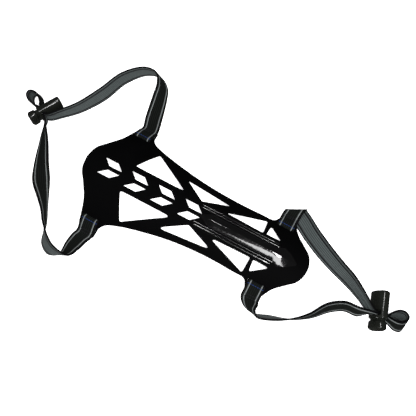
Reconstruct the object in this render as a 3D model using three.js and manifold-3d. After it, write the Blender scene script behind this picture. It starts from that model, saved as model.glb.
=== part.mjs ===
// Archer's arm guard: an arched lattice plate with a raised spine, an elastic strap folded round the
// ears of each end, and a spring cord lock that gathers each strap into a pull loop.
// Millimetres, Z up. X runs along the forearm from the wide end to the narrow end. The guard lies on
// the table at Z = 0 with the straps standing on their edges beside it.
import * as THREE from 'three';
import { mergeVertices } from 'three/addons/utils/BufferGeometryUtils.js';
import Module from 'manifold-3d';

const wasm = await Module();
wasm.setup();

// Plate: its top is a shallow arch that falls and tightens towards the narrow end
const PLATE_THICKNESS = 2.2;
const CROWN_HEIGHT = 16.4;
const CROWN_FALL = 0.048;
const ARCH_DROP = 0.00982;
const ARCH_TIGHTENING = 0.0000219;
const ARCH_CELLS = { along: 12, across: 44 };
const CURVE_STEPS = 4;

// Blank that the plate is cut from, larger than the plate all round
const BLANK = { start: -100, end: 92, halfWidth: 54, depth: 50, bottom: -15 };

// Half outline of the plate in three smooth runs. The straight edges of the two ears join them.
const WIDE_TIP_RUN = [[-93.4, 0], [-91.6, 9.6], [-85.4, 18.8], [-80.4, 27.5], [-77.8, 37.5], [-77.2, 42.5]];
const WAIST_RUN = [
  [-62.6, 42.5], [-58, 37.2], [-49.5, 33.7], [-32, 29.4], [-9, 25.4], [16, 23.6], [39, 24], [48.4, 24.7],
  [51.4, 29.5],
];
const NARROW_TIP_RUN = [[64.6, 29.5], [69, 22.4], [76, 16], [81.9, 10.6], [84.5, 4.6], [85.1, 0]];

// Paired diamond holes along the middle, leaning towards the narrow end
const DIAMOND = {
  first: -81.2, pitch: 22.07, pairs: 4, length: 10.6, lean: 6.2, inner: 1.4, outer: 6.8, radius: 0.4,
};

// Side cut-outs of one half, each with its corner radius
const CUTOUTS = [
  { radius: 1.5, corners: [[-59.3, 11], [-49.5, 30.6], [-16.8, 11]] },
  { radius: 1.3, corners: [[-22.6, 21.9], [-3.2, 10.2], [18.8, 18.3]] },
  { radius: 1.2, corners: [[13.6, 11], [45, 21.9], [45.8, 10.3]] },
  { radius: 1, corners: [[49.1, 19.2], [48.4, 10.7], [60.8, 10.8]] },
];

// Spine: a low roof from the last diamonds to the narrow tip
const SPINE_SINK = 1;
const SPINE_EAVES = 0.5;
const SPINE_SECTIONS = [
  { x: 1, halfWidth: 1.4, ridge: 0.4 },
  { x: 9, halfWidth: 8.4, ridge: 1.6 },
  { x: 62, halfWidth: 8.4, ridge: 2.4 },
  { x: 76, halfWidth: 1.6, ridge: 0.5 },
];

// Ears: each strap is folded round the bar between the slot and the ear's outer edge
const SLOT_LENGTH = 14.4;
const SLOT_WIDTH = 2.8;
const EAR_LENGTH = 20;
const EAR_TRIM = 4;
const EARS = {
  wide: { x: -69.4, barInner: 37.7, barOuter: 42.5, tail: 5.2 },
  narrow: { x: 57.9, barInner: 24.6, barOuter: 29.5, tail: 4.2 },
};
const EAR_CUT_HEIGHT = 6 * PLATE_THICKNESS;

// Straps: flat elastic, gathered where it passes through its lock
const STRAP_WIDTH = 13.5;
const STRAP_THICKNESS = 1.2;
const STRAP_GATHERED = { hole: 7.2, mouth: 9 };
const STRAP_STEP = 3;
const GAP = 0.3;
const FOLD_GAP = 0.6;

// Strap beyond an ear's bar: the sewn tail lies on the table, and the strap leaves over it
const TAIL = { height: 1, flat: 2, start: 0.6 };
const LEAVING = { near: 3, nearHeight: 3.5, far: 0.4, farHeight: 2.8 };
const BAR_INSET = 0.4;

// Cord locks: oval barrel with a blind cavity, sprung plunger with a flared head, cross hole for the
// doubled strap. Lengths along the lock run from its cross hole towards the closed end.
const LOCK_LONG = 14.8;
const LOCK_THIN = 8.2;
const LOCK_SQUARENESS = 2.5;
const LOCK_WALL = 1.2;
const LOCK_RIM = -3.2;
const LOCK_CAP = 15.9;
const LOCK_EDGE = 0.7;
const CAP_ROUND = { depth: 1.2, shoulder: 0.45, inset: 0.8, flat: 2.4 };
const CAVITY_END = 14.2;
const CAVITY_OVERRUN = 1;
const PLUNGER_END = 10.4;
const PLUNGER_TRAVEL = 1.7;
const HOLE_HEIGHT = { barrel: 11.5, plunger: 9.8 };
const HOLE_ROOM = { barrel: 1.2, plunger: 0.1 };
const MOUTH = 1.2;
const RING_POINTS = 28;

// Plunger head: a domed flange on a short neck, as places along the lock and insets from its full oval
const HEAD_LONG = 14;
const HEAD_THIN = 8.8;
const HEAD_SECTIONS = [
  { along: -11.4, inset: 5 },
  { along: -11, inset: 2.6 },
  { along: -10.4, inset: 1 },
  { along: -9.8, inset: 0.2 },
  { along: -9.2, inset: 0 },
  { along: -5.8, inset: 0.6 },
  { along: -5.1, inset: 2 },
];
const NECK_START = -5;

// Where each lock lies: the middle of its cross hole, the plan direction of its closed end, its roll
// about its own length, and the slope of the strap through it. Its pull loop has a side, a skew towards
// the closed end, a reach, a half opening and a full width. Its upper edge leans in a direction set off
// the bearing, most at the loop's end.
const LOCKS = {
  wide: {
    x: -149.45, y: 19.76, z: 7.8, bearing: 62.3, roll: 0, slope: 0,
    loop: { side: -1, skew: 0.06, reach: 21.6, opening: 3.8, width: 12.2, lean: 16, leanTurn: -172 },
  },
  narrow: {
    x: 140.37, y: -3.25, z: 7, bearing: 105.4, roll: 28, slope: 24,
    loop: { side: 1, skew: -0.1, reach: 18.8, opening: 3.9, width: 13.7, lean: 25, leanTurn: 0 },
  },
};

// One side of a pull loop, as shares of its reach past the mouth, its half opening and its full width
const LOOP_SECTIONS = [
  { reach: 0.22, aside: 0.57, width: 0.74 },
  { reach: 0.59, aside: 1, width: 0.94 },
  { reach: 0.88, aside: 0.71, width: 1 },
  { reach: 1, aside: 0, width: 1 },
];
const LOOP_LIFT = 0.3;
const GATHER_LIFT = 0.35;

// Free runs of the straps from an ear to a lock or back. Bearing and rise give the direction of the
// strap edge that lies towards +X at the ears, and lift is the height of the lower edge.
const RUN_COLUMNS = ['x', 'y', 'bearing', 'rise', 'lift', 'width'];
const WIDE_RUN_OUT = [
  [-72.4, 58.5, 20, -10, 0.8, 13.5],
  [-76.4, 75, 28, -38, 0.1, 13.5],
  [-79.9, 85.6, 35, -55, 0, 13.5],
  [-87.4, 92.6, 75, -72, 0, 13.5],
  [-98.2, 90.8, 100, -86, 0, 13.5],
  [-110.5, 77, -36, -79, 0, 13.5],
  [-117.5, 57, -25, -73, 0, 13.5],
  [-127, 38, -20, -84, 0.15, 13.5],
  [-136.5, 26.8, -20, -89, 0.4, 12.2],
];
const WIDE_RUN_BACK = [
  [-141.9, 8.9, -155, -61, 0.6, 12],
  [-136.1, -0.9, -157, -44, 0.5, 13.4],
  [-129.2, -14.6, -160, -22, 0.4, 13.5],
  [-121.8, -26.6, -140, 14, 0.6, 13.2],
  [-111.5, -37.7, -103, 55, 0.1, 13.5],
  [-104.8, -45.7, -73, 66, 0, 13.5],
  [-98, -55.2, -35, 78, 0, 13.5],
  [-90.4, -66.3, 31, 54, 0, 13.5],
  [-82.8, -70.3, 50, 56, 0, 13.5],
  [-73.4, -68.8, 8, 42, 0, 13.5],
  [-72.2, -59.8, -6, 18, 0.3, 13.5],
  [-71, -52, -4, 5, 1, 13.5],
];
const NARROW_RUN_OUT = [
  [58.4, 37.6, 14, 2, 4.3, 13.7],
  [59.4, 41, 28, 0, 2.6, 15.4],
  [62.2, 39.2, 42, 2, 0.5, 14.3],
  [68, 35.2, 55, 14, 0.2, 13.5],
  [78, 27.8, 58, 36, 0, 13.5],
  [90.2, 20.8, 60, 43, 0, 13.5],
  [103, 14.4, 62, 54, 0.1, 13.5],
  [115, 9.2, 68, 64, 0.1, 13.5],
  [125.5, 3.2, 62, 72, 0.8, 12],
];
const NARROW_RUN_BACK = [
  [127.7, -8, 116, 70, 0.9, 11.6],
  [118.4, -8.9, 142, 69, 0, 13.5],
  [109, -14.8, 165, 66, 0, 13.5],
  [99.5, -26.3, -165, 76, 0, 13.5],
  [88, -35, -100, 79, 0, 13.5],
  [75, -40.6, -77, 68, 0, 13.5],
  [67, -43.2, -62, 72, 0, 13.5],
  [61.5, -41, -10, 58, 0, 13.5],
  [59, -36.5, 4, 22, 0.9, 13.5],
];

// Colours, roughness and metalness of the finishes
const FINISHES = {
  plate: { color: 0x0a0a0b, roughness: 0.22, metalness: 0 },
  strap: { color: 0x2b2e30, roughness: 0.9, metalness: 0 },
  lock: { color: 0x141415, roughness: 0.38, metalness: 0 },
};

const radians = THREE.MathUtils.degToRad;

function material(finish) {
  return new THREE.MeshStandardMaterial(FINISHES[finish]);
}

function solidOf(geometry) {
  const bare = geometry.clone();
  bare.deleteAttribute('normal');
  bare.deleteAttribute('uv');
  const merged = mergeVertices(bare, 1e-4);
  return new wasm.Manifold(new wasm.Mesh({
    numProp: 3,
    vertProperties: new Float32Array(merged.getAttribute('position').array),
    triVerts: new Uint32Array(merged.getIndex().array),
  }));
}

function geometryOf(solid) {
  const mesh = solid.getMesh();
  const geometry = new THREE.BufferGeometry();
  geometry.setAttribute('position', new THREE.BufferAttribute(mesh.vertProperties, 3));
  geometry.setIndex(new THREE.BufferAttribute(mesh.triVerts, 1));
  geometry.computeVertexNormals();
  return geometry;
}

// A closed body through rings of equal length, each ring turning the same way about the body's length
function loft(rings) {
  const count = rings[0].length;
  const last = (rings.length - 1) * count;
  const index = [];
  for (let ring = 0; ring < rings.length - 1; ring += 1) {
    for (let k = 0; k < count; k += 1) {
      const a = ring * count + k;
      const b = ring * count + (k + 1) % count;
      index.push(a, b, a + count, b, b + count, a + count);
    }
  }
  for (let k = 1; k < count - 1; k += 1) {
    index.push(0, k + 1, k, last, last + k, last + k + 1);
  }
  const geometry = new THREE.BufferGeometry().setFromPoints(rings.flat());
  geometry.setIndex(index);
  geometry.computeVertexNormals();
  return geometry;
}

// Plate

function archTop(x, y) {
  return CROWN_HEIGHT - CROWN_FALL * x - (ARCH_DROP + ARCH_TIGHTENING * x) * y * y;
}

function archPoint(x, y, depth) {
  const normal = new THREE.Vector3(
    CROWN_FALL + ARCH_TIGHTENING * y * y,
    2 * (ARCH_DROP + ARCH_TIGHTENING * x) * y,
    1,
  ).normalize();
  return new THREE.Vector3(x, y, archTop(x, y)).addScaledVector(normal, -depth);
}

function archSlab() {
  const rings = [];
  for (let i = 0; i <= ARCH_CELLS.along; i += 1) {
    const x = THREE.MathUtils.lerp(BLANK.start, BLANK.end, i / ARCH_CELLS.along);
    const top = [];
    const under = [];
    for (let j = 0; j <= ARCH_CELLS.across; j += 1) {
      const y = THREE.MathUtils.lerp(-BLANK.halfWidth, BLANK.halfWidth, j / ARCH_CELLS.across);
      top.push(archPoint(x, y, 0));
      under.unshift(archPoint(x, y, PLATE_THICKNESS));
    }
    rings.push({ top, under });
  }
  const index = [];
  const points = rings.flatMap(({ top, under }) => [...top, ...under]);
  const row = ARCH_CELLS.across + 1;
  const count = 2 * row;
  for (let ring = 0; ring < rings.length - 1; ring += 1) {
    for (let k = 0; k < count; k += 1) {
      const a = ring * count + k;
      const b = ring * count + (k + 1) % count;
      index.push(a, a + count, b, b, a + count, b + count);
    }
  }
  for (const [start, flip] of [[0, false], [(rings.length - 1) * count, true]]) {
    for (let j = 0; j < row - 1; j += 1) {
      const a = start + j;
      const b = start + count - 1 - j;
      index.push(...(flip ? [a, b, a + 1, a + 1, b, b - 1] : [a, a + 1, b, a + 1, b - 1, b]));
    }
  }
  const geometry = new THREE.BufferGeometry().setFromPoints(points);
  geometry.setIndex(index);
  return geometry;
}

function roundedLoop(corners, radius) {
  const path = new THREE.Path();
  const points = corners.map(([x, y]) => new THREE.Vector2(x, y));
  points.forEach((corner, i) => {
    const before = points[(i + points.length - 1) % points.length];
    const after = points[(i + 1) % points.length];
    const inward = before.clone().sub(corner).normalize();
    const outward = after.clone().sub(corner).normalize();
    const setback = radius / Math.tan(inward.angleTo(outward) / 2);
    const start = corner.clone().addScaledVector(inward, setback);
    const end = corner.clone().addScaledVector(outward, setback);
    if (i === 0) path.moveTo(start.x, start.y);
    else path.lineTo(start.x, start.y);
    path.quadraticCurveTo(corner.x, corner.y, end.x, end.y);
  });
  path.closePath();
  return path;
}

function plateOutline() {
  const half = new THREE.Path();
  half.moveTo(...WIDE_TIP_RUN[0]);
  for (const run of [WIDE_TIP_RUN, WAIST_RUN, NARROW_TIP_RUN]) {
    half.lineTo(...run[0]);
    half.splineThru(run.slice(1).map(([x, y]) => new THREE.Vector2(x, y)));
  }
  const upper = half.getPoints(CURVE_STEPS).reverse();
  const lower = upper.slice(1, -1).reverse().map((point) => new THREE.Vector2(point.x, -point.y));
  return new THREE.Shape([...upper, ...lower]);
}

function plateHoles() {
  const halves = CUTOUTS.map(({ corners, radius }) => ({ corners, radius }));
  for (let pair = 0; pair < DIAMOND.pairs; pair += 1) {
    const x = DIAMOND.first + pair * DIAMOND.pitch;
    halves.push({
      radius: DIAMOND.radius,
      corners: [
        [x, DIAMOND.outer], [x + DIAMOND.length, DIAMOND.outer],
        [x + DIAMOND.length + DIAMOND.lean, DIAMOND.inner], [x + DIAMOND.lean, DIAMOND.inner],
      ],
    });
  }
  return halves.flatMap(({ corners, radius }) => [1, -1].map(
    (side) => roundedLoop(corners.map(([x, y]) => [x, side * y]), radius),
  ));
}

function spineBody() {
  return loft(SPINE_SECTIONS.map(({ x, halfWidth, ridge }) => {
    const eaves = archTop(x, halfWidth);
    return [
      new THREE.Vector3(x, -halfWidth, eaves - SPINE_SINK),
      new THREE.Vector3(x, halfWidth, eaves - SPINE_SINK),
      new THREE.Vector3(x, halfWidth, eaves + SPINE_EAVES),
      new THREE.Vector3(x, 0, archTop(x, 0) + ridge),
      new THREE.Vector3(x, -halfWidth, eaves + SPINE_EAVES),
    ];
  }));
}

// Frame of an ear's bar: its inner top edge, and the directions across it and out of its top
function barFrame(ear) {
  const rise = archTop(ear.x, ear.barInner) - archTop(ear.x, ear.barOuter);
  const run = ear.barOuter - ear.barInner;
  const slope = Math.atan2(rise, run);
  const fall = CROWN_FALL + ARCH_TIGHTENING * ear.barInner ** 2;
  return {
    slope,
    tilt: THREE.MathUtils.radToDeg(Math.atan(-fall)),
    width: Math.hypot(rise, run),
    edge: new THREE.Vector3(ear.x, ear.barInner, archTop(ear.x, ear.barInner)),
    across: new THREE.Vector3(0, Math.cos(slope), -Math.sin(slope)),
    up: new THREE.Vector3(0, Math.sin(slope), Math.cos(slope)),
  };
}

// A block square to an ear's top, between two distances across its bar
function earCutter(ear, side, from, to, length) {
  const { slope, edge, across } = barFrame(ear);
  const middle = edge.clone().addScaledVector(across, (from + to) / 2);
  const box = new THREE.BoxGeometry(length, to - from, EAR_CUT_HEIGHT);
  box.rotateX(-side * slope);
  box.translate(middle.x, side * middle.y, middle.z);
  return solidOf(box);
}

function guardPlate() {
  const shape = plateOutline();
  shape.holes.push(...plateHoles());
  const prism = new THREE.ExtrudeGeometry(shape, {
    depth: BLANK.depth, bevelEnabled: false, curveSegments: CURVE_STEPS,
  });
  prism.translate(0, 0, BLANK.bottom);
  let solid = solidOf(prism).intersect(solidOf(archSlab())).add(solidOf(spineBody()));
  for (const ear of Object.values(EARS)) {
    const { width } = barFrame(ear);
    for (const side of [1, -1]) {
      const slot = earCutter(ear, side, -SLOT_WIDTH, 0, SLOT_LENGTH);
      const edgeTrim = earCutter(ear, side, width, width + EAR_TRIM, EAR_LENGTH);
      solid = solid.subtract(slot).subtract(edgeTrim);
    }
  }
  return geometryOf(solid);
}

// Straps

// A strap section: its middle and the half width towards the edge that lies at +X on the ears
function section(middle, bearing, rise, width) {
  const level = Math.cos(radians(rise));
  const half = new THREE.Vector3(
    level * Math.cos(radians(bearing)),
    level * Math.sin(radians(bearing)),
    Math.sin(radians(rise)),
  ).multiplyScalar(width / 2);
  return { middle, half };
}

function runSections(rows) {
  return rows.map((row) => {
    const { x, y, bearing, rise, lift, width } = Object.fromEntries(
      RUN_COLUMNS.map((column, k) => [column, row[k]]),
    );
    const upright = Math.abs(Math.sin(radians(rise))) * width / 2;
    const flat = Math.cos(radians(rise)) * STRAP_THICKNESS / 2;
    return section(new THREE.Vector3(x, y, lift + upright + flat), bearing, rise, width);
  });
}

// The fold round an ear's bar, from the sewn tail under the strap to the strap leaving the ear's top
function foldSections(ear, side) {
  const { edge, across, up, width, tilt } = barFrame(ear);
  const off = FOLD_GAP + STRAP_THICKNESS / 2;
  const diagonal = off * Math.SQRT1_2;
  const place = (point, rise) => section(
    new THREE.Vector3(point.x, side * point.y, point.z), 0, rise, STRAP_WIDTH,
  );
  const bar = (a, n) => place(edge.clone().addScaledVector(across, a).addScaledVector(up, n), tilt);
  const out = (distance, z) => place(new THREE.Vector3(ear.x, ear.barOuter + distance, z), 0);
  return [
    out(ear.tail, TAIL.height),
    out(ear.tail - TAIL.flat, TAIL.height),
    out(TAIL.start, TAIL.height),
    bar(width, -PLATE_THICKNESS - off),
    bar(BAR_INSET, -PLATE_THICKNESS - off),
    bar(-diagonal, -PLATE_THICKNESS - diagonal),
    bar(-off, -PLATE_THICKNESS),
    bar(-off, 0),
    bar(-diagonal, diagonal),
    bar(BAR_INSET, off),
    bar(width, off),
    out(LEAVING.near, LEAVING.nearHeight),
    out(ear.tail + LEAVING.far, LEAVING.farHeight),
  ];
}

// Plan directions of a lock: through its cross hole, and along it to its closed end
function lockFrame(lock) {
  const along = radians(lock.bearing);
  return {
    through: new THREE.Vector3(Math.sin(along), -Math.cos(along), 0),
    along: new THREE.Vector3(Math.cos(along), Math.sin(along), 0),
    hole: new THREE.Vector3(lock.x, lock.y, lock.z),
  };
}

// The strap through its lock: in beside the closed end, round the pull loop and back beside the rim.
// edge is 1 where the edge that lies at +X on the ears is the upper one in the lock.
function lockSections(lock, edge) {
  const { through, along, hole } = lockFrame(lock);
  const { loop } = lock;
  const layer = (STRAP_THICKNESS + GAP) / 2;
  const mouth = LOCK_THIN / 2 + MOUTH;
  const fall = Math.tan(radians(lock.slope));
  const pass = (distance, aside, width) => section(
    hole.clone().addScaledVector(through, distance).addScaledVector(along, aside)
      .add(new THREE.Vector3(0, 0, -distance * fall)),
    lock.bearing - 90, edge * (90 - lock.slope), width,
  );
  const leaning = lock.bearing + loop.leanTurn + (edge < 0 ? 180 : 0);
  const half = (side) => LOOP_SECTIONS.map(({ reach, aside, width }) => {
    const out = THREE.MathUtils.lerp(mouth, loop.reach, reach);
    const middle = hole.clone().addScaledVector(through, loop.side * out)
      .addScaledVector(along, side * aside * loop.opening + loop.skew * out);
    const lean = loop.lean * Math.sqrt(reach);
    const upright = Math.cos(radians(lean)) * width * loop.width / 2;
    middle.z = upright + (1 - width) * loop.width * GATHER_LIFT + LOOP_LIFT;
    return section(middle, leaning, edge * (90 - lean), width * loop.width);
  });
  const { hole: inHole, mouth: atMouth } = STRAP_GATHERED;
  const near = -loop.side * mouth;
  const far = loop.side * mouth;
  const pair = (aside) => [pass(near, aside, atMouth), pass(0, aside, inHole), pass(far, aside, atMouth)];
  return [
    ...pair(layer),
    ...half(1), ...half(-1).reverse().slice(1),
    ...pair(-layer).reverse(),
  ];
}

function ribbon(sections) {
  const edge = (side) => new THREE.CatmullRomCurve3(
    sections.map(({ middle, half }) => middle.clone().addScaledVector(half, side)), false, 'centripetal',
  );
  const edges = [edge(-1), edge(1)];
  const stations = [];
  for (let k = 0; k < sections.length - 1; k += 1) {
    const span = sections[k].middle.distanceTo(sections[k + 1].middle);
    const steps = Math.max(1, Math.round(span / STRAP_STEP));
    for (let step = 0; step < steps; step += 1) {
      stations.push((k + step / steps) / (sections.length - 1));
    }
  }
  stations.push(1);
  const lines = stations.map((t) => edges.map((curve) => curve.getPoint(t)));
  return loft(lines.map(([low, high], k) => {
    const [back, ahead] = [lines[Math.max(k - 1, 0)], lines[Math.min(k + 1, lines.length - 1)]];
    const heading = ahead[0].clone().add(ahead[1]).sub(back[0]).sub(back[1]);
    const normal = heading.cross(high.clone().sub(low)).normalize().multiplyScalar(STRAP_THICKNESS / 2);
    return [
      low.clone().add(normal), low.clone().sub(normal), high.clone().sub(normal), high.clone().add(normal),
    ];
  }));
}

function strap(ear, lock, edge, runOut, runBack) {
  return ribbon([
    ...foldSections(ear, 1),
    ...runSections(runOut),
    ...lockSections(lock, edge),
    ...runSections(runBack),
    ...foldSections(ear, -1).reverse(),
  ]);
}

// Cord locks, with the cross hole along X, the closed end at +Y and the long side of the oval along Z

function oval(y, long, thin) {
  const power = 2 / LOCK_SQUARENESS;
  return Array.from({ length: RING_POINTS }, (_, k) => {
    const angle = 2 * Math.PI * k / RING_POINTS;
    const across = Math.cos(angle);
    const height = Math.sin(angle);
    return new THREE.Vector3(
      Math.sign(across) * Math.abs(across) ** power * thin / 2,
      y,
      Math.sign(height) * Math.abs(height) ** power * long / 2,
    );
  });
}

function ovalBody(sections) {
  return solidOf(loft(sections.map(([y, long, thin]) => oval(y, long, thin).reverse())));
}

function crossHole(start, end, height) {
  const box = new THREE.BoxGeometry(2 * LOCK_LONG, end - start, height);
  box.translate(0, (start + end) / 2, 0);
  return solidOf(box);
}

const cavityLong = LOCK_LONG - 2 * LOCK_WALL;
const cavityThin = LOCK_THIN - 2 * LOCK_WALL;
const strapStack = STRAP_THICKNESS + GAP / 2;

function lockBarrel() {
  const shell = ovalBody([
    [LOCK_RIM, LOCK_LONG - LOCK_EDGE, LOCK_THIN - LOCK_EDGE],
    [LOCK_RIM + LOCK_EDGE, LOCK_LONG, LOCK_THIN],
    [LOCK_CAP - CAP_ROUND.depth, LOCK_LONG, LOCK_THIN],
    [LOCK_CAP - CAP_ROUND.shoulder, LOCK_LONG - CAP_ROUND.inset, LOCK_THIN - CAP_ROUND.inset],
    [LOCK_CAP, LOCK_LONG - CAP_ROUND.flat, LOCK_THIN - CAP_ROUND.flat],
  ]);
  const cavity = ovalBody([
    [LOCK_RIM - CAVITY_OVERRUN, cavityLong, cavityThin],
    [CAVITY_END, cavityLong, cavityThin],
  ]);
  const hole = crossHole(-strapStack - GAP, strapStack + HOLE_ROOM.barrel, HOLE_HEIGHT.barrel);
  return geometryOf(shell.subtract(cavity).subtract(hole));
}

function lockPlunger() {
  const long = cavityLong - 2 * GAP;
  const thin = cavityThin - 2 * GAP;
  const body = ovalBody([
    ...HEAD_SECTIONS.map(({ along, inset }) => [along, HEAD_LONG - inset, HEAD_THIN - inset]),
    [NECK_START, long, thin],
    [PLUNGER_END, long, thin],
  ]);
  const slack = strapStack + PLUNGER_TRAVEL + HOLE_ROOM.plunger;
  const hole = crossHole(-slack, strapStack + GAP, HOLE_HEIGHT.plunger);
  return geometryOf(body.subtract(hole));
}

function named(name, geometry, finish) {
  const mesh = new THREE.Mesh(geometry, material(finish));
  mesh.name = name;
  return mesh;
}

function cordLock(end) {
  const lock = LOCKS[end];
  const group = new THREE.Group();
  group.add(
    named(`lock_barrel_${end}`, lockBarrel(), 'lock'),
    named(`lock_plunger_${end}`, lockPlunger(), 'lock'),
  );
  group.rotation.set(0, radians(lock.roll), radians(lock.bearing - 90), 'ZYX');
  group.position.set(lock.x, lock.y, lock.z);
  return group;
}

const guard = new THREE.Group();
guard.add(
  named('guard_plate', guardPlate(), 'plate'),
  named('strap_wide', strap(EARS.wide, LOCKS.wide, -1, WIDE_RUN_OUT, WIDE_RUN_BACK), 'strap'),
  named('strap_narrow', strap(EARS.narrow, LOCKS.narrow, 1, NARROW_RUN_OUT, NARROW_RUN_BACK), 'strap'),
  cordLock('wide'),
  cordLock('narrow'),
);

// The origin is under the middle of the whole guard, on the table
guard.updateMatrixWorld(true);
const extent = new THREE.Box3().setFromObject(guard, true);
const middle = extent.getCenter(new THREE.Vector3());
guard.position.set(-middle.x, -middle.y, -extent.min.z);
guard.updateMatrixWorld(true);

export default guard;
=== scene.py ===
"""Archer's arm guard on a pale studio floor: a moulded lattice plate with a glossy spine, two woven
elastic straps sewn round its ears, and a spring cord lock on each strap."""
import math

import bpy
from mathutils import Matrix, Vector
from mathutils.geometry import interpolate_bezier


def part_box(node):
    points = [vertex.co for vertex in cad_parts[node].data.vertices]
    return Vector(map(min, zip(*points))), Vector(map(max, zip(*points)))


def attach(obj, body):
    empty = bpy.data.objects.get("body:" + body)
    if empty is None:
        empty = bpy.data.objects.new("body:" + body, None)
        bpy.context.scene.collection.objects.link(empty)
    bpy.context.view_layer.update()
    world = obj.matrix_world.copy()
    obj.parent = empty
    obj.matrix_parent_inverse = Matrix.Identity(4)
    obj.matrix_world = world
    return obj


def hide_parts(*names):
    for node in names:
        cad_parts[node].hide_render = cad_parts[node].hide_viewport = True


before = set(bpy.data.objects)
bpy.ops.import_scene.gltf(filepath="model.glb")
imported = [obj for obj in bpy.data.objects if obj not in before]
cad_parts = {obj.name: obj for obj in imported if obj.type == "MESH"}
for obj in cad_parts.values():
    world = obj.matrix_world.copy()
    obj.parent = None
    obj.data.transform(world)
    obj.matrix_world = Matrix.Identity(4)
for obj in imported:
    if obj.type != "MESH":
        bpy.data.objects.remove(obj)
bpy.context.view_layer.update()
bpy.ops.object.select_all(action="DESELECT")

# Guard plate
# A thin lattice plate moulded in black plastic, arched to sit on a forearm. Diamond and triangle
# windows lighten it, and each of its four ears has a slot that leaves a bar for a strap.

# Sizes here and below are millimetres on the table, and settle() sets each piece down in the frame
PLATE_THICKNESS = 2.2
PLATE_EDGE = 0.4
CROWN_HEIGHT = 16.4
CROWN_FALL = 0.048
ARCH_DROP = 0.00982
ARCH_TIGHTENING = 0.0000219
# Half of the outline, in three smooth runs between the corners of the ears
WIDE_TIP = [(-93.4, 0), (-91.6, 9.6), (-85.4, 18.8), (-80.4, 27.5), (-77.8, 37.5), (-77.2, 42.5)]
WAIST = [
    (-62.6, 42.5), (-58, 37.2), (-49.5, 33.7), (-32, 29.4), (-9, 25.4), (16, 23.6), (39, 24),
    (48.4, 24.7), (51.4, 29.5),
]
NARROW_TIP = [(64.6, 29.5), (69, 22.4), (76, 16), (81.9, 10.6), (84.5, 4.6), (85.1, 0)]
DIAMOND_STARTS = [-81.2, -59.13, -37.06, -14.99]
DIAMOND = [(0, 6.8), (10.6, 6.8), (16.8, 1.4), (6.2, 1.4)]
DIAMOND_RADIUS = 0.5
# Triangles on one side: radius of the corners, then the corners
WINDOWS = [
    (1.5, [(-59.3, 11), (-49.5, 30.6), (-16.8, 11)]),
    (1.3, [(-22.6, 21.9), (-3.2, 10.2), (18.8, 18.3)]),
    (1.2, [(13.6, 11), (45, 21.9), (45.8, 10.3)]),
    (1.0, [(49.1, 19.2), (48.4, 10.7), (60.8, 10.8)]),
]
EARS = {
    "wide": {"x": -69.4, "inner": 37.7, "outer": 42.5, "tail": 5.2},
    "narrow": {"x": 57.9, "inner": 24.6, "outer": 29.5, "tail": 4.2},
}
SLOT_LENGTH = 13.6
SLOT_WIDTH = 2.1
SLOT_RADIUS = 0.5
OUTLINE_STEPS = 8
CORNER_STEPS = 6
CELL_LENGTH = 6
CELL_WIDTH = 2.5


def arch_top(x, y):
    return CROWN_HEIGHT - CROWN_FALL * x - (ARCH_DROP + ARCH_TIGHTENING * x) * y * y


def on_arch(x, y, height):
    slope = Vector((CROWN_FALL + ARCH_TIGHTENING * y * y, 2 * (ARCH_DROP + ARCH_TIGHTENING * x) * y, 1))
    return Vector((x, y, arch_top(x, y))) + slope.normalized() * height


plate_low, plate_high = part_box("guard_plate")
TABLE = Vector((
    plate_low.x - WIDE_TIP[0][0] / 1000,
    (plate_low.y + plate_high.y) / 2,
    plate_high.z - arch_top(*WIDE_TIP[0]) / 1000,
))


def settle(piece, body, slot, *nodes):
    """Sets a piece made in millimetres on the table down in the frame, on its body."""
    bpy.ops.object.select_all(action="DESELECT")
    piece.select_set(True)
    bpy.context.view_layer.objects.active = piece
    bpy.ops.object.transform_apply(location=True, rotation=True, scale=True)
    piece.scale = (0.001, 0.001, 0.001)
    piece.location = TABLE
    bpy.ops.object.transform_apply(location=True, rotation=True, scale=True)
    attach(piece, body)
    if nodes:
        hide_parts(*nodes)
    bpy.ops.object.select_all(action="DESELECT")


def apply_modifier(piece, kind, **settings):
    modifier = piece.modifiers.new(kind.title(), kind)
    for name, value in settings.items():
        setattr(modifier, name, value)
    bpy.context.view_layer.objects.active = piece
    bpy.ops.object.modifier_apply(modifier=modifier.name)


def spline_span(points, k):
    """Bezier handles of the centripetal curve through points, from point k to the next."""
    start, end = points[k], points[k + 1]
    before = points[k - 1] if k else start * 2 - end
    after = points[k + 2] if k + 2 < len(points) else end * 2 - start
    steps = [math.sqrt((b - a).length) for a, b in ((before, start), (start, end), (end, after))]
    first, middle, last = steps
    leave = (start - before) / first - (end - before) / (first + middle) + (end - start) / middle
    arrive = (end - start) / middle - (after - start) / (middle + last) + (after - end) / last
    return start, start + leave * middle / 3, end - arrive * middle / 3, end


def rounded(corners, radius):
    """A loop through corners, each rounded by a short arc."""
    corners = [Vector(corner).to_3d() for corner in corners]
    loop = []
    for k, corner in enumerate(corners):
        inward = (corners[k - 1] - corner).normalized()
        outward = (corners[(k + 1) % len(corners)] - corner).normalized()
        setback = radius / math.tan(inward.angle(outward) / 2)
        start, end = corner + inward * setback, corner + outward * setback
        handles = (start.lerp(corner, 2 / 3), end.lerp(corner, 2 / 3))
        loop += interpolate_bezier(start, *handles, end, CORNER_STEPS)
    return loop


def mirrored(corners):
    return [(x, -y) for x, y in corners]


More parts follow.
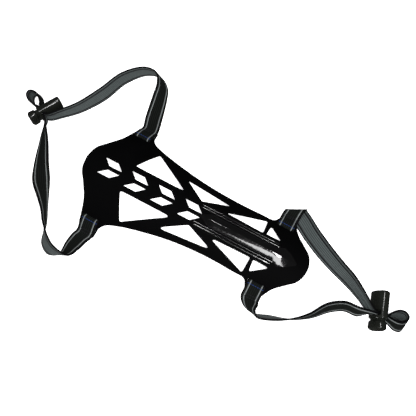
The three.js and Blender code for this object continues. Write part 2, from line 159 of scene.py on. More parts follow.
half_outline = []
for run in (WIDE_TIP, WAIST, NARROW_TIP):
    run = [Vector(point).to_3d() for point in run]
    half_outline.append(run[0])
    for k in range(len(run) - 1):
        half_outline += interpolate_bezier(*spline_span(run, k), OUTLINE_STEPS)[1:]
loops = [half_outline + [Vector((point.x, -point.y, 0)) for point in half_outline[-2:0:-1]]]
window_corners = list(WINDOWS)
for start in DIAMOND_STARTS:
    window_corners.append((DIAMOND_RADIUS, [(start + x, y) for x, y in DIAMOND]))
for ear in EARS.values():
    rise = arch_top(ear["x"], ear["inner"]) - arch_top(ear["x"], ear["outer"])
    slope = math.atan2(rise, ear["outer"] - ear["inner"])
    near, far = ear["x"] - SLOT_LENGTH / 2, ear["x"] + SLOT_LENGTH / 2
    low, high = ear["inner"] - SLOT_WIDTH * math.cos(slope), ear["inner"]
    window_corners.append((SLOT_RADIUS, [(near, low), (far, low), (far, high), (near, high)]))
for radius, corners in window_corners:
    loops += [rounded(corners, radius), rounded(mirrored(corners), radius)]

sheet = bpy.data.curves.new("guard_plate_lattice", "CURVE")
sheet.dimensions = "2D"
sheet.fill_mode = "BOTH"
sheet.extrude = PLATE_THICKNESS / 2 - PLATE_EDGE
sheet.bevel_depth = PLATE_EDGE
sheet.bevel_resolution = 2
sheet.offset = -PLATE_EDGE
for loop in loops:
    spline = sheet.splines.new("POLY")
    spline.points.add(len(loop) - 1)
    for point, place in zip(spline.points, loop):
        point.co = (place.x, place.y, 0, 1)
    spline.use_cyclic_u = True
plate = bpy.data.objects.new("guard_plate_lattice", sheet)
bpy.context.collection.objects.link(plate)
plate.select_set(True)
bpy.context.view_layer.objects.active = plate
bpy.ops.object.convert(target="MESH")


def cut_into_cells(piece, length, width):
    """Cuts a flat piece into a grid of faces, so that it can follow the arch."""
    xs = [vertex.co.x for vertex in piece.data.vertices]
    ys = [vertex.co.y for vertex in piece.data.vertices]
    cuts = []
    for low, high, step, normal in (
        (min(xs), max(xs), length, (1, 0, 0)), (min(ys), max(ys), width, (0, 1, 0)),
    ):
        first, last = math.floor(low / step) + 1, math.ceil(high / step)
        cuts += [([k * step * axis for axis in normal], normal) for k in range(first, last)]
    bpy.ops.object.mode_set(mode="EDIT")
    for place, normal in cuts:
        bpy.ops.mesh.select_all(action="SELECT")
        bpy.ops.mesh.bisect(plane_co=place, plane_no=normal)
        bpy.ops.mesh.mark_seam()
    bpy.ops.mesh.select_all(action="SELECT")
    bpy.ops.mesh.dissolve_limited(angle_limit=math.radians(1), delimit={"SEAM"})
    bpy.ops.mesh.mark_seam(clear=True)
    bpy.ops.mesh.dissolve_degenerate(threshold=0.01)
    bpy.ops.object.mode_set(mode="OBJECT")


def lay_on_arch(piece, top):
    """Bends a flat piece onto the arch; what is at height top in it comes to lie on the arch's top."""
    for vertex in piece.data.vertices:
        vertex.co = on_arch(vertex.co.x, vertex.co.y, vertex.co.z - top)


bpy.ops.object.mode_set(mode="EDIT")
bpy.ops.mesh.select_all(action="SELECT")
bpy.ops.mesh.remove_doubles(threshold=0.001)
bpy.ops.mesh.dissolve_degenerate(threshold=0.01)
bpy.ops.mesh.normals_make_consistent(inside=False)
bpy.ops.object.mode_set(mode="OBJECT")
cut_into_cells(plate, CELL_LENGTH, CELL_WIDTH)
lay_on_arch(plate, PLATE_THICKNESS / 2)
bpy.ops.object.shade_smooth_by_angle(angle=math.radians(40))
apply_modifier(plate, "WEIGHTED_NORMAL", keep_sharp=True, weight=80)


class Wire:
    """A shader socket that can stand in a Python expression, which adds the Math nodes."""

    def __init__(self, finish, socket):
        self.finish = finish
        self.socket = socket

    def math(self, operation, first, second=0.0):
        return self.finish.node("ShaderNodeMath", {"operation": operation}, {0: first, 1: second})

    def wave(self, pitch):
        """A smooth wave from 0 to 1 that repeats over each pitch."""
        return 0.5 + 0.5 * self.math("SINE", self * (2 * math.pi / pitch))

    def __add__(self, other):
        return self.math("ADD", self, other)

    def __radd__(self, other):
        return self.math("ADD", other, self)

    def __sub__(self, other):
        return self.math("SUBTRACT", self, other)

    def __rsub__(self, other):
        return self.math("SUBTRACT", other, self)

    def __mul__(self, other):
        return self.math("MULTIPLY", self, other)

    def __rmul__(self, other):
        return self.math("MULTIPLY", other, self)

    def __gt__(self, other):
        return self.math("GREATER_THAN", self, other)

    def __lt__(self, other):
        return self.math("LESS_THAN", self, other)

    def __abs__(self):
        return self.math("ABSOLUTE", self)


class Finish:
    """A material on one Principled shader. feed() sets or links a socket, node() adds a node."""

    def __init__(self, name):
        self.material = bpy.data.materials.new(name)
        self.material.use_nodes = True
        self.tree = self.material.node_tree
        self.shader = self.tree.nodes["Principled BSDF"]

    def feed(self, socket, value):
        if isinstance(value, Wire):
            self.tree.links.new(value.socket, socket)
        else:
            socket.default_value = value

    def node(self, kind, settings, sockets, output=0):
        made = self.tree.nodes.new(kind)
        for name, value in settings.items():
            setattr(made, name, value)
        for name, value in sockets.items():
            self.feed(made.inputs[name], value)
        return Wire(self, made.outputs[output])

    def place(self):
        return self.node("ShaderNodeTexCoord", {}, {}, "Object")

    def noise(self, scale, detail):
        sockets = {"Vector": self.place(), "Scale": scale, "Detail": detail}
        return self.node("ShaderNodeTexNoise", {}, sockets, "Fac")

    def blend(self, share, first, second):
        """A colour between two; the node's colours are its inputs 6 and 7 and its output 2."""
        return self.node("ShaderNodeMix", {"data_type": "RGBA"}, {0: share, 6: first, 7: second}, 2)

    def bump(self, height, strength, distance):
        sockets = {"Height": height, "Strength": strength, "Distance": distance}
        self.set("Normal", self.node("ShaderNodeBump", {}, sockets, "Normal"))

    def set(self, name, value):
        self.feed(self.shader.inputs[name], value)

    def cover(self, piece):
        piece.data.materials.append(self.material)


PLATE_BLACK = (0.0004, 0.0004, 0.0005, 1)
PLATE_WORN = (0.0011, 0.0011, 0.0012, 1)
PLATE_CLOUDS = 60
PLATE_GRAIN = 2600

moulded_black = Finish("moulded_black")
clouds = moulded_black.noise(PLATE_CLOUDS, 3)
grain = moulded_black.noise(PLATE_GRAIN, 2)
moulded_black.set("Base Color", moulded_black.blend(clouds, PLATE_BLACK, PLATE_WORN))
moulded_black.set("Roughness", 0.55 + 0.16 * clouds)
moulded_black.set("Specular IOR Level", 0.012)
moulded_black.bump(grain, 0.25, 0.00008)
moulded_black.cover(plate)
settle(plate, "guard", "plate", "guard_plate")

# Spine
# A raised roof along the middle of the narrow half, moulded in one with the plate and left glossy,
# with a pair of fine rails on each side of it. They stiffen the plate and close it to the tip.
ROOF_SINK = -0.6
# Sections of the roof: place along the plate, half width, height of the eaves and of the ridge
ROOF_STATIONS = [
    (1, 0.9, 0.25, 0.4), (9, 4.8, 0.45, 1.6), (59, 4.8, 0.45, 2.35), (64.5, 7.4, 0.15, 2.2),
    (70, 5.4, 0.15, 1.5), (76.3, 0.9, 0.1, 0.4),
]
ROOF_EDGE = 0.25
# Rails on one side: inner edge, outer edge, start and end along the plate
RAILS = [(5.5, 6.7, -2, 61.5), (7.3, 8.7, -1, 60)]
RAIL_HEIGHT = 0.65
RAIL_EDGE = 0.5


def select_edges(piece, wanted):
    """Leaves the piece in edit mode with the edges selected whose two ends meet a test."""
    bpy.ops.object.mode_set(mode="EDIT")
    bpy.ops.mesh.select_mode(type="EDGE")
    bpy.ops.mesh.select_all(action="DESELECT")
    bpy.ops.object.mode_set(mode="OBJECT")
    for edge in piece.data.edges:
        edge.select = wanted(*[piece.data.vertices[index].co for index in edge.vertices])
    bpy.ops.object.mode_set(mode="EDIT")


roof_start, roof_end = ROOF_STATIONS[0][0], ROOF_STATIONS[-1][0]
bpy.ops.mesh.primitive_cube_add(
    size=2, location=((roof_start + roof_end) / 2, 0, 0), scale=((roof_end - roof_start) / 2, 1, 1),
)
spine = bpy.context.object
spine.name = "guard_spine"
bpy.ops.object.transform_apply(location=True, rotation=True, scale=True)
bpy.ops.object.mode_set(mode="EDIT")
roof_cuts = [((0, 0, 0), (0, 1, 0))]
roof_cuts += [((row[0], 0, 0), (1, 0, 0)) for row in ROOF_STATIONS[1:-1]]
for place, normal in roof_cuts:
    bpy.ops.mesh.select_all(action="SELECT")
    bpy.ops.mesh.bisect(plane_co=place, plane_no=normal)
bpy.ops.object.mode_set(mode="OBJECT")
for vertex in spine.data.vertices:
    x, half, eaves, ridge = min(ROOF_STATIONS, key=lambda row: abs(row[0] - vertex.co.x))
    height = eaves if abs(vertex.co.y) > 0.5 else ridge
    vertex.co = (x, vertex.co.y * half, height if vertex.co.z > 0 else ROOF_SINK)
select_edges(spine, lambda a, b: min(a.z, b.z) > ROOF_SINK and abs(a.x - b.x) > 1)
bpy.ops.mesh.bevel(offset=ROOF_EDGE, segments=3, affect="EDGES")
bpy.ops.object.mode_set(mode="OBJECT")
rails = []
for inner, outer, start, end in RAILS:
    for side in (1, -1):
        middle = ((start + end) / 2, side * (inner + outer) / 2, (RAIL_HEIGHT + ROOF_SINK) / 2)
        size = (end - start, outer - inner, RAIL_HEIGHT - ROOF_SINK)
        bpy.ops.mesh.primitive_cube_add(size=1, location=middle, scale=size)
        bpy.ops.object.transform_apply(location=True, rotation=True, scale=True)
        rail = bpy.context.object
        select_edges(rail, lambda a, b: min(a.z, b.z) > 0)
        bpy.ops.mesh.bevel(offset=RAIL_EDGE, segments=3, affect="EDGES")
        bpy.ops.object.mode_set(mode="OBJECT")
        rails.append(rail)
bpy.ops.object.select_all(action="DESELECT")
for part in [spine] + rails:
    part.select_set(True)
bpy.context.view_layer.objects.active = spine
bpy.ops.object.join()
cut_into_cells(spine, CELL_LENGTH, CELL_WIDTH)
lay_on_arch(spine, 0)
bpy.ops.object.shade_smooth_by_angle(angle=math.radians(40))

SPINE_BLACK = (0.001, 0.001, 0.0011, 1)
SPINE_GREY = (0.003, 0.003, 0.0032, 1)
SPINE_CLOUDS = 90
SPINE_RIPPLE = 420

glossy_black = Finish("glossy_black")
clouds = glossy_black.noise(SPINE_CLOUDS, 3)
ripple = glossy_black.noise(SPINE_RIPPLE, 2)
glossy_black.set("Base Color", glossy_black.blend(clouds, SPINE_BLACK, SPINE_GREY))
glossy_black.set("Roughness", 0.03 + 0.14 * clouds)
glossy_black.set("Specular IOR Level", 0.3)
glossy_black.set("Coat Weight", 0.25)
glossy_black.set("Coat Roughness", 0.04)
glossy_black.bump(ripple, 0.26, 0.0002)
glossy_black.cover(spine)
settle(spine, "guard", "plate")

# Straps
# Flat woven elastic, black outside and grey inside, with a contrasting line along each side of both
# faces. Each strap is folded round the bars of two ears and doubled through its cord lock.
STRAP_WIDTH = 13.5
STRAP_THICKNESS = 1.2
STRAP_EDGE = 0.3
GATHERED_IN_HOLE = 7.2
GATHERED_AT_MOUTH = 9
LAYER_OFFSET = 0.75
FOLD_GAP = 0.6
TAIL_HEIGHT = 1
TAIL_FLAT = 2
TAIL_START = 0.6
# Leaving an ear: distance past its bar, then past the tail's end, and the strap's height there
LEAVING = [(3, 3.5), (0.4, 2.8)]
BAR_INSET = 0.4
STRAP_STEP = 0.9
STRAP_COLUMNS = 14
PLEAT_HEIGHT = 0.3
PLEATS = 3
LOCK_MOUTH = 5.3
# One side of a pull loop: shares of its reach, of its half opening and of its width
LOOP_SECTIONS = [(0.22, 0.57, 0.74), (0.59, 1, 0.94), (0.88, 0.71, 1), (1, 0, 1)]
LOOP_LIFT = 0.3
GATHER_LIFT = 0.35
# Each lock: middle of its cross hole, bearing and roll of the barrel, the strap's slope in the hole and
# the edge that is up there, then the pull loop's side, skew, reach, half opening, width and lean
LOCKS = {
    "wide": {
        "hole": Vector((-149.45, 19.76, 7.8)), "bearing": 62.3, "roll": 0, "slope": 0, "edge": -1,
        "side": -1, "skew": 0.06, "reach": 21.6, "opening": 3.8, "width": 12.2,
        "lean": 16, "lean_turn": -172,
    },
    "narrow": {
        "hole": Vector((140.37, -3.25, 7)), "bearing": 105.4, "roll": 28, "slope": 24, "edge": 1,
        "side": 1, "skew": -0.1, "reach": 18.8, "opening": 3.9, "width": 13.7,
        "lean": 25, "lean_turn": 0,
    },
}
# Free runs: place, bearing and rise of the edge that lies towards +X at the ears, lift and width
RUNS_OUT = {
    "wide": [
        (-72.4, 58.5, 20, -10, 0.8, 13.5), (-76.4, 75, 28, -38, 0.1, 13.5),
        (-79.9, 85.6, 35, -55, 0, 13.5), (-87.4, 92.6, 75, -72, 0, 13.5),
        (-98.2, 90.8, 100, -86, 0, 13.5), (-110.5, 77, -36, -79, 0, 13.5),
        (-117.5, 57, -25, -73, 0, 13.5), (-127, 38, -20, -84, 0.15, 13.5),
        (-136.5, 26.8, -20, -89, 0.4, 12.2),
    ],
    "narrow": [
        (58.4, 37.6, 14, 2, 4.3, 13.7), (59.4, 41, 28, 0, 2.6, 15.4), (62.2, 39.2, 42, 2, 0.5, 14.3),
        (68, 35.2, 55, 14, 0.2, 13.5), (78, 27.8, 58, 36, 0, 13.5), (90.2, 20.8, 60, 43, 0, 13.5),
        (103, 14.4, 62, 54, 0.1, 13.5), (115, 9.2, 68, 64, 0.1, 13.5), (125.5, 3.2, 62, 72, 0.8, 12),
    ],
}
RUNS_BACK = {
    "wide": [
        (-141.9, 8.9, -155, -61, 0.6, 12), (-136.1, -0.9, -157, -44, 0.5, 13.4),
        (-129.2, -14.6, -160, -22, 0.4, 13.5), (-121.8, -26.6, -140, 14, 0.6, 13.2),
        (-111.5, -37.7, -103, 55, 0.1, 13.5), (-104.8, -45.7, -73, 66, 0, 13.5),
        (-98, -55.2, -35, 78, 0, 13.5), (-90.4, -66.3, 31, 54, 0, 13.5),
        (-82.8, -70.3, 50, 56, 0, 13.5), (-73.4, -68.8, 8, 42, 0, 13.5),
        (-72.2, -59.8, -6, 18, 0.3, 13.5), (-71, -52, -4, 5, 1, 13.5),
    ],
    "narrow": [
        (127.7, -8, 116, 70, 0.9, 11.6), (118.4, -8.9, 142, 69, 0, 13.5),
        (109, -14.8, 165, 66, 0, 13.5), (99.5, -26.3, -165, 76, 0, 13.5),
        (88, -35, -100, 79, 0, 13.5), (75, -40.6, -77, 68, 0, 13.5), (67, -43.2, -62, 72, 0, 13.5),
        (61.5, -41, -10, 58, 0, 13.5), (59, -36.5, 4, 22, 0.9, 13.5),
    ],
}


def strap_section(middle, bearing, rise, width):
    """The two edges of the strap at one place."""
    bearing, rise = math.radians(bearing), math.radians(rise)
    level = math.cos(rise)
    half = Vector((level * math.cos(bearing), level * math.sin(bearing), math.sin(rise))) * width / 2
    return middle - half, middle + half


def run_sections(rows):
    sections = []
    for x, y, bearing, rise, lift, width in rows:
        upright = abs(math.sin(math.radians(rise))) * width / 2
        flat = math.cos(math.radians(rise)) * STRAP_THICKNESS / 2
        sections.append(strap_section(Vector((x, y, lift + upright + flat)), bearing, rise, width))
    return sections


def fold_sections(ear, side):
    """Round an ear's bar, from the sewn tail under the strap to the strap leaving the ear's top."""
    x, inner, outer, tail = ear["x"], ear["inner"], ear["outer"], ear["tail"]
    rise = arch_top(x, inner) - arch_top(x, outer)
    slope = math.atan2(rise, outer - inner)
    width = math.hypot(rise, outer - inner)
    tilt = math.degrees(math.atan(-(CROWN_FALL + ARCH_TIGHTENING * inner ** 2)))
    off = FOLD_GAP + STRAP_THICKNESS / 2
    diagonal = off * math.sqrt(0.5)

    def beside_bar(across, above):
        y = inner + across * math.cos(slope) + above * math.sin(slope)
        z = arch_top(x, inner) - across * math.sin(slope) + above * math.cos(slope)
        return strap_section(Vector((x, side * y, z)), 0, tilt, STRAP_WIDTH)

    def beyond(distance, z):
        return strap_section(Vector((x, side * (outer + distance), z)), 0, 0, STRAP_WIDTH)

    under = -PLATE_THICKNESS
    return [
        beyond(tail, TAIL_HEIGHT), beyond(tail - TAIL_FLAT, TAIL_HEIGHT), beyond(TAIL_START, TAIL_HEIGHT),
        beside_bar(width, under - off), beside_bar(BAR_INSET, under - off),
        beside_bar(-diagonal, under - diagonal), beside_bar(-off, under), beside_bar(-off, 0),
        beside_bar(-diagonal, diagonal), beside_bar(BAR_INSET, off), beside_bar(width, off),
        beyond(*LEAVING[0]), beyond(tail + LEAVING[1][0], LEAVING[1][1]),
    ]


def lock_sections(lock):
    """Through the lock beside its closed end, round the pull loop and back beside its rim."""
    bearing, edge = math.radians(lock["bearing"]), lock["edge"]
    through = Vector((math.sin(bearing), -math.cos(bearing), 0))
    along = Vector((math.cos(bearing), math.sin(bearing), 0))
    fall = math.tan(math.radians(lock["slope"]))

    def passing(distance, aside, width):
        middle = lock["hole"] + through * distance + along * aside - Vector((0, 0, distance * fall))
        return strap_section(middle, lock["bearing"] - 90, edge * (90 - lock["slope"]), width)

    def loop_half(side):
        sections = []
        for reach, aside, share in LOOP_SECTIONS:
            out = LOCK_MOUTH + (lock["reach"] - LOCK_MOUTH) * reach
            middle = lock["hole"] + through * lock["side"] * out
            middle += along * (side * aside * lock["opening"] + lock["skew"] * out)
            lean = lock["lean"] * math.sqrt(reach)
            upright = math.cos(math.radians(lean)) * share * lock["width"] / 2
            middle.z = upright + (1 - share) * lock["width"] * GATHER_LIFT + LOOP_LIFT
            leaning = lock["bearing"] + lock["lean_turn"] + (180 if edge < 0 else 0)
            sections.append(strap_section(middle, leaning, edge * (90 - lean), share * lock["width"]))
        return sections

    def layers(aside):
        near = -lock["side"] * LOCK_MOUTH
        widths = ((near, GATHERED_AT_MOUTH), (0, GATHERED_IN_HOLE), (-near, GATHERED_AT_MOUTH))
        return [passing(distance, aside, width) for distance, width in widths]

    loop = loop_half(1) + loop_half(-1)[-2::-1]
    return layers(LAYER_OFFSET) + loop + layers(-LAYER_OFFSET)[::-1]


def strap_lines(sections):
    """The strap's two edges at close steps, with the section that each step belongs to."""
    edges = [[section[side] for section in sections] for side in (0, 1)]
    lines = []
    for k in range(len(sections) - 1):
        span = (sum(sections[k + 1], Vector()) - sum(sections[k], Vector())).length / 2
        steps = max(2, round(span / STRAP_STEP))
        both = [interpolate_bezier(*spline_span(edge, k), steps + 1) for edge in edges]
        lines += [(low, high, k + n / steps) for n, (low, high) in enumerate(zip(*both))][:-1]
    lines.append((*sections[-1], len(sections) - 1))
    return lines


def weave_strap(name, lines):
    bpy.ops.mesh.primitive_grid_add(x_subdivisions=STRAP_COLUMNS, y_subdivisions=len(lines) - 1)
    strap = bpy.context.object
    strap.name = name
    count = STRAP_COLUMNS + 1
    length = 0
    lengths = []
    for row, (low, high, _) in enumerate(lines):
        before, after = lines[max(row - 1, 0)], lines[min(row + 1, len(lines) - 1)]
        heading = after[0] + after[1] - before[0] - before[1]
        outward = (high - low).cross(heading).normalized()
        gather = min(max((STRAP_WIDTH - (high - low).length) / (STRAP_WIDTH - GATHERED_IN_HOLE), 0), 1)
        pleat = PLEAT_HEIGHT * 4 * gather * (1 - gather)
        if row:
            length += (low + high - before[0] - before[1]).length / 2
        lengths.append(length)
        for column in range(count):
            share = column / STRAP_COLUMNS
            wave = math.sin(2 * math.pi * PLEATS * share) * pleat
            strap.data.vertices[row * count + column].co = low.lerp(high, share) + outward * wave
    weave = strap.data.uv_layers[0]
    weave.name = "weave"
    for loop, mapped in zip(strap.data.loops, weave.data):
        row, column = divmod(loop.vertex_index, count)
        mapped.uv = ((column / STRAP_COLUMNS - 0.5) * STRAP_WIDTH, lengths[row])
    return strap


STRAP_LINE = 4.35
LINE_TEETH = 0.16
STRAP_SELVAGE = 5.9
RIB_PITCH = 0.95
CORD_PITCH = 1.45
STRAP_FUZZ = 900
SHADOW = (0, 0, 0, 1)
OUTER_BLACK = (0.0075, 0.0086, 0.0078, 1)
OUTER_LINE = (0.17, 0.183, 0.183, 1)
INNER_GREY = (0.058, 0.069, 0.069, 1)
INNER_LINE = (0.003, 0.003, 0.0035, 1)
SELVAGE = (0.004, 0.004, 0.0045, 1)


def strap_finish(name, ground, line, line_width, shine, sheen):
    """Ribbed elastic: a ground colour, a toothed line along each side, dark edges, and painted shade in
    the dips between its fine ribs and cords.
    """
    finish = Finish(name)
    weave = finish.node("ShaderNodeUVMap", {"uv_map": "weave"}, {})
    across = finish.node("ShaderNodeSeparateXYZ", {}, {0: weave}, 0)
    along = finish.node("ShaderNodeSeparateXYZ", {}, {0: weave}, 1)
    away = abs(across)
    ribs = along.wave(RIB_PITCH)
    cords = across.wave(CORD_PITCH)
    fuzz = finish.noise(STRAP_FUZZ, 3)
    on_line = abs(away - STRAP_LINE) + LINE_TEETH * ribs < line_width / 2
    colour = finish.blend(on_line, ground, line)
    colour = finish.blend(away > STRAP_SELVAGE, colour, SELVAGE)
    # Painted shade: the colour is blended towards black in the dips between the ribs and between the
    # cords. The fuzz adds random tone on top.
    shade = (0.3 + 0.2 * ribs + 0.5 * cords) * (0.75 + 0.5 * fuzz)
    finish.set("Base Color", finish.blend(shade, SHADOW, colour))
    finish.set("Roughness", 0.74 + 0.2 * fuzz)
    finish.set("Specular IOR Level", shine)
    finish.set("Sheen Weight", sheen)
    finish.set("Sheen Roughness", 0.5)
    finish.bump(0.5 * ribs + 0.5 * cords + 0.4 * fuzz, 0.5, 0.00018)
    return finish


strap_outside = strap_finish(
    "strap_outside", OUTER_BLACK, OUTER_LINE, line_width=1.0, shine=0, sheen=0.004,
)
strap_inside = strap_finish(
    "strap_inside", INNER_GREY, INNER_LINE, line_width=1.3, shine=0.1, sheen=0.02,
)
strap_rows = {}
for end, ear in EARS.items():
    strap_rows[end] = strap_lines(
        fold_sections(ear, 1) + run_sections(RUNS_OUT[end]) + lock_sections(LOCKS[end])
        + run_sections(RUNS_BACK[end]) + fold_sections(ear, -1)[::-1]
    )
    strap = weave_strap("elastic_strap_" + end, strap_rows[end])
    strap_outside.cover(strap)
    strap_inside.cover(strap)
    apply_modifier(strap, "SOLIDIFY", thickness=STRAP_THICKNESS, offset=0, material_offset=1)
    apply_modifier(strap, "BEVEL", width=STRAP_EDGE, segments=2, limit_method="ANGLE",
                   angle_limit=math.radians(60))
    bpy.ops.object.shade_smooth()
    settle(strap, "guard", "strap", "strap_" + end)

# Stitching
# A row of blue thread holds each strap in its slot, and two rows of black thread farther out sew its
# folded tail to it. The stitches lie on the outside of the strap.
# Places of the rows, counted in the strap's sections from its end
SLOT_SPANS = [8.75]
TAIL_SPANS = [10.7, 11.75]
STITCHES = 7
STITCH_PITCH = 1.8
STITCH_SIZE = (0.78, 0.28, 0.22)
THREAD_TWIST = 3500
# Dark and light of each thread's twist
THREADS = {
    "blue": ((0.004, 0.012, 0.06, 1), (0.012, 0.035, 0.13, 1)),
    "black": ((0.003, 0.003, 0.004, 1), (0.010, 0.010, 0.012, 1)),
}


def sew(name, lines, spans):
    """Rows of stitches across a strap, at the same places near both of its ends."""
    ends = [span for near in spans for span in (near, lines[-1][2] - near)]
    made = []
    for span in ends:
        row = min(range(len(lines)), key=lambda k: abs(lines[k][2] - span))
        low, high, _ = lines[row]
        heading = sum(lines[row + 1][:2], Vector()) - sum(lines[row - 1][:2], Vector())
        outward = (high - low).cross(heading).normalized()
        turn = (high - low).to_track_quat("X", "Z").to_euler()
        for k in range(STITCHES):
            share = 0.5 + (k - (STITCHES - 1) / 2) * STITCH_PITCH / STRAP_WIDTH
            place = low.lerp(high, share) + outward * (STRAP_THICKNESS / 2 + STITCH_SIZE[2] / 3)
            bpy.ops.mesh.primitive_ico_sphere_add(
                subdivisions=2, radius=1, location=place, rotation=turn, scale=STITCH_SIZE,
            )
            made.append(bpy.context.object)
    bpy.ops.object.select_all(action="DESELECT")
    for stitch in made:
        stitch.select_set(True)
    bpy.context.view_layer.objects.active = made[0]
    bpy.ops.object.transform_apply(location=True, rotation=True, scale=True)
    bpy.ops.object.join()
    bpy.ops.object.shade_smooth()
    made[0].name = name
    return made[0]


for colour, (dark, light) in THREADS.items():
    thread = Finish(colour + "_thread")
    twist = thread.noise(THREAD_TWIST, 1)
    thread.set("Base Color", thread.blend(twist, dark, light))
    thread.set("Roughness", 0.6 + 0.3 * twist)
    thread.set("Specular IOR Level", 0.1)
    thread.bump(twist, 0.3, 0.0001)
    for end, lines in strap_rows.items():
        seam = sew(f"{colour}_stitching_{end}", lines, SLOT_SPANS if colour == "blue" else TAIL_SPANS)
        thread.cover(seam)
        settle(seam, "guard", "strap")

# Cord locks
# Each lock is an oval barrel moulded in satin black plastic with a blind bore, and a sprung plunger in
# it with a flared head to press. A cross hole through both grips the doubled strap.
LOCK_LONG = 14.8
LOCK_THIN = 8.2
SQUARENESS = 2.5
OVAL_POINTS = 96
BORE_LONG = 12.4
BORE_THIN = 5.8
# Sections of barrel, bore, head and shaft: place along the axis, and what its ovals gain on full size
BARREL_SECTIONS = [
    (15.9, -2.6), (15.85, -1.9), (15.6, -1), (15.2, -0.4), (14.7, -0.05), (14.3, 0), (-2.5, 0),
    (-2.85, -0.1), (-3.1, -0.4), (-3.2, -0.8),
]
BORE_SECTIONS = [(-3.2, 0.5), (-3.05, 0.15), (-2.7, 0), (14.2, 0)]
# Cross holes: start and end along the axis, and height
BARREL_HOLE = (-1.65, 2.2, 11)
HEAD_LONG = 14
HEAD_THIN = 8.8
HEAD_SECTIONS = [
    (-11.4, -5), (-11.25, -3.7), (-11, -2.6), (-10.7, -1.7), (-10.4, -1), (-10.1, -0.5), (-9.8, -0.2),
    (-9.2, 0), (-6.1, -0.45), (-5.55, -0.7), (-5.25, -1.25), (-5.1, -2.2),
]
SHAFT_LONG = 12.1
SHAFT_THIN = 5.5
SHAFT_SECTIONS = [(-5.05, 0.1), (-4.95, 0), (10.4, 0)]
PLUNGER_HOLE = (-3.15, 1.5, 9.4)
HOLE_ROUND = 0.6


def oval_body(name, sections):
    """Extrudes an oval through sections (place along Y, long side, thin side) into a closed body."""
    bpy.ops.mesh.primitive_circle_add(vertices=OVAL_POINTS, radius=1, fill_type="NGON")
    body = bpy.context.object
    body.name = name
    start, long, thin = sections[0]
    for vertex in body.data.vertices:
        across, height = vertex.co.x, vertex.co.y
        vertex.co = (
            math.copysign(abs(across) ** (2 / SQUARENESS), across) * thin / 2,
            start,
            math.copysign(abs(height) ** (2 / SQUARENESS), height) * long / 2,
        )
    bpy.ops.object.mode_set(mode="EDIT")
    bpy.ops.mesh.select_all(action="SELECT")
    for (y, long, thin), (next_y, next_long, next_thin) in zip(sections, sections[1:]):
        bpy.ops.mesh.extrude_region_move(TRANSFORM_OT_translate={"value": (0, next_y - y, 0)})
        bpy.ops.transform.resize(
            value=(next_thin / thin, 1, next_long / long), center_override=(0, next_y, 0),
        )
    bpy.ops.mesh.select_all(action="SELECT")
    bpy.ops.mesh.normals_make_consistent(inside=False)
    bpy.ops.object.mode_set(mode="OBJECT")
    return body


def cut_cross_hole(body, start, end, height):
    bpy.ops.mesh.primitive_cube_add(
        size=1, location=(0, (start + end) / 2, 0), scale=(3 * LOCK_LONG, end - start, height),
    )
    cutter = bpy.context.object
    bpy.ops.object.transform_apply(location=True, rotation=True, scale=True)
    apply_modifier(cutter, "BEVEL", width=HOLE_ROUND, segments=3)
    apply_modifier(body, "BOOLEAN", object=cutter, operation="DIFFERENCE", solver="EXACT")
    bpy.data.objects.remove(cutter)
    bpy.ops.object.select_all(action="DESELECT")
    body.select_set(True)
    bpy.context.view_layer.objects.active = body
    bpy.ops.object.shade_smooth_by_angle(angle=math.radians(35))


def grown(sections, long, thin):
    return [(y, long + extra, thin + extra) for y, extra in sections]


LOCK_BLACK = (0.0042, 0.0046, 0.0038, 1)
LOCK_GREY = (0.009, 0.0098, 0.0082, 1)
LOCK_CLOUDS = 150
LOCK_GRAIN = 3000

satin_black = Finish("satin_black")
clouds = satin_black.noise(LOCK_CLOUDS, 3)
grain = satin_black.noise(LOCK_GRAIN, 2)
satin_black.set("Base Color", satin_black.blend(clouds, LOCK_BLACK, LOCK_GREY))
satin_black.set("Roughness", 0.12 + 0.08 * clouds)
satin_black.set("Specular IOR Level", 0.25)
satin_black.bump(grain, 0.1, 0.00005)
for end, lock in LOCKS.items():
    barrel = oval_body(
        "lock_shell_" + end,
        grown(BARREL_SECTIONS, LOCK_LONG, LOCK_THIN) + grown(BORE_SECTIONS, BORE_LONG, BORE_THIN),
    )
    cut_cross_hole(barrel, *BARREL_HOLE)
    plunger = oval_body(
        "lock_button_" + end,
        grown(HEAD_SECTIONS, HEAD_LONG, HEAD_THIN) + grown(SHAFT_SECTIONS, SHAFT_LONG, SHAFT_THIN),
    )
    cut_cross_hole(plunger, *PLUNGER_HOLE)
    for part in (barrel, plunger):
        part.rotation_euler = (0, math.radians(lock["roll"]), math.radians(lock["bearing"] - 90))
        part.location = lock["hole"]
        satin_black.cover(part)
    settle(barrel, "guard", "lock", "lock_barrel_" + end)
    settle(plunger, "plunger_" + end, "lock", "lock_plunger_" + end)

# Studio
# A pale floor that glows, as a light table does, and stays out of the plastic's reflections. A flash
# and a softbox stand near the camera, with a small strip overhead and a long low one in front.
FLOOR_SIZE = 6
FLOOR_WHITE = (0.9, 0.9, 0.9, 1)
FLOOR_GLOW = 0.85
WORLD_STRENGTH = 0.08

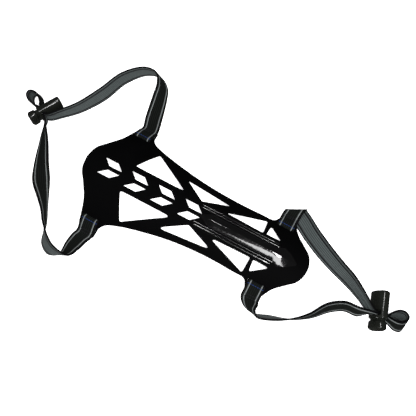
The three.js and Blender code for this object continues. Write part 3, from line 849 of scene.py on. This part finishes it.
bpy.ops.mesh.primitive_plane_add(size=FLOOR_SIZE)
floor = bpy.context.object
floor.name = "floor"
floor.visible_glossy = False
pale = Finish("pale_floor")
pale.set("Base Color", FLOOR_WHITE)
pale.set("Roughness", 0.9)
pale.set("Specular IOR Level", 0.1)
pale.set("Emission Color", (1, 1, 1, 1))
pale.set("Emission Strength", FLOOR_GLOW)
pale.cover(floor)

scene = bpy.context.scene
scene.view_settings.view_transform = "Standard"
world = bpy.data.worlds.new("studio")
scene.world = world
world.use_nodes = True
world.node_tree.nodes["Background"].inputs["Color"].default_value = (1, 1, 1, 1)
world.node_tree.nodes["Background"].inputs["Strength"].default_value = WORLD_STRENGTH

# Lights, aimed at the frame's origin: name, direction, distance, width, height and power
LIGHTS = [
    ("flash", (0.27, -0.222, 0.937), 0.44, 0.065, 0.065, 1.7),
    ("softbox", (0.22, -0.46, 0.85), 0.9, 0.32, 0.26, 5),
    ("overhead_strip", (-0.087, 0.133, 0.987), 0.473, 0.04, 0.12, 1),
    ("front_strip", (-0.1, -0.92, 0.38), 1.2, 1.2, 0.3, 3),
]
for name, direction, distance, width, height, power in LIGHTS:
    lamp = bpy.data.lights.new(name, "AREA")
    lamp.shape = "RECTANGLE"
    lamp.size = width
    lamp.size_y = height
    lamp.energy = power
    light = bpy.data.objects.new(name, lamp)
    bpy.context.collection.objects.link(light)
    away = Vector(direction).normalized()
    light.location = away * distance
    light.rotation_euler = away.to_track_quat("Z", "Y").to_euler()

# Camera
# It stands close, on the near side and a little towards the narrow end, about 70 degrees up, so that
# both straps and the whole length of the spine show.
CAMERA_TARGET = Vector((0, 13.2, -1.9))
CAMERA_DISTANCE = 0.4
CAMERA_AZIMUTH = 28.01
CAMERA_ELEVATION = 69.74
CAMERA_LENS = 46.15

azimuth, elevation = math.radians(CAMERA_AZIMUTH), math.radians(CAMERA_ELEVATION)
back = Vector((
    math.sin(azimuth) * math.cos(elevation), -math.cos(azimuth) * math.cos(elevation), math.sin(elevation),
))
camera = bpy.data.objects.new("camera", bpy.data.cameras.new("camera"))
bpy.context.collection.objects.link(camera)
camera.location = TABLE + CAMERA_TARGET / 1000 + back * CAMERA_DISTANCE
camera.rotation_euler = back.to_track_quat("Z", "Y").to_euler()
camera.data.lens = CAMERA_LENS
camera.data.sensor_width = 36
camera.data.clip_start = 0.01
scene.camera = camera
